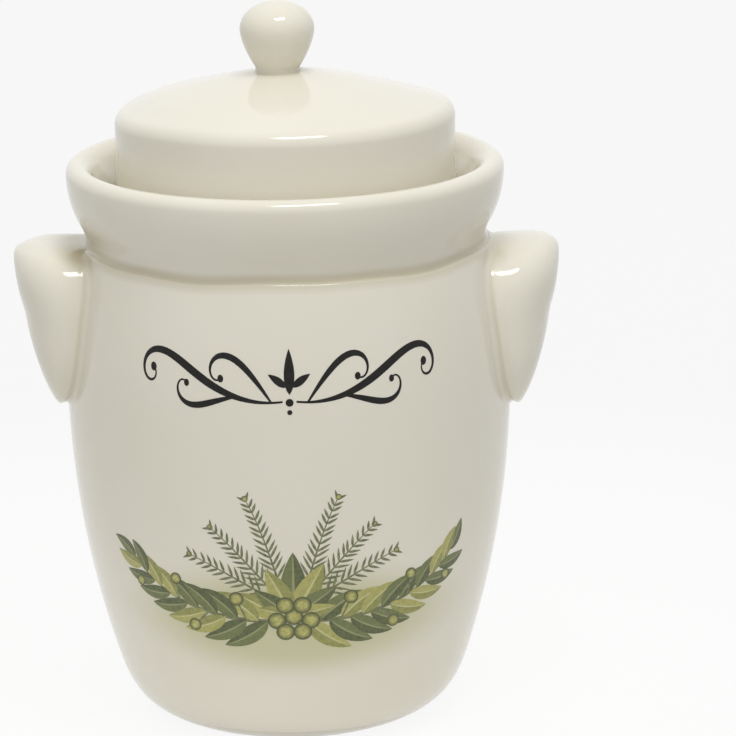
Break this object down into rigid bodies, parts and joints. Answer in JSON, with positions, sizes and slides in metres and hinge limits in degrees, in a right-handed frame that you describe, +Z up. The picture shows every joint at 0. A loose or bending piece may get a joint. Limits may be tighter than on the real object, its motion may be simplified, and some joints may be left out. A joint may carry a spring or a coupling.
{
  "type": "water seal pickle jar",
  "caption": "Cream glazed stoneware crock whose domed lid stands in a gutter of water, with two ear handles and half-round weights inside.",
  "frame": {"origin": "centre of the foot, on the surface that the crock stands on", "axes": "+Z up along the crock's axis, +X towards the right handle, -Y towards the printed front"},
  "size_m": [0.2474, 0.202, 0.327],
  "materials": {
    "cream_glaze": "gloss",
    "bare_stoneware": "matte"
  },
  "bodies": {
    "crock": {"crock_body": "cream_glaze", "gutter_collar": "cream_glaze", "left_handle": "cream_glaze", "right_handle": "cream_glaze"},
    "lid": {"lid_shell": "cream_glaze", "lid_knob": "cream_glaze"},
    "weight_left": {"weight_stone_left": "bare_stoneware"},
    "weight_right": {"weight_stone_right": "bare_stoneware"}
  },
  "joints": [
    {"name": "lid_lift", "type": "slide", "parent": "crock", "child": "lid", "axis": [0, 0, 1], "range_m": [0, 0.12]},
    {"name": "weight_left_lift", "type": "slide", "parent": "crock", "child": "weight_left", "axis": [0, 0, 1], "range_m": [0, 0.13]},
    {"name": "weight_right_lift", "type": "slide", "parent": "crock", "child": "weight_right", "axis": [0, 0, 1], "range_m": [0, 0.13]}
  ]
}
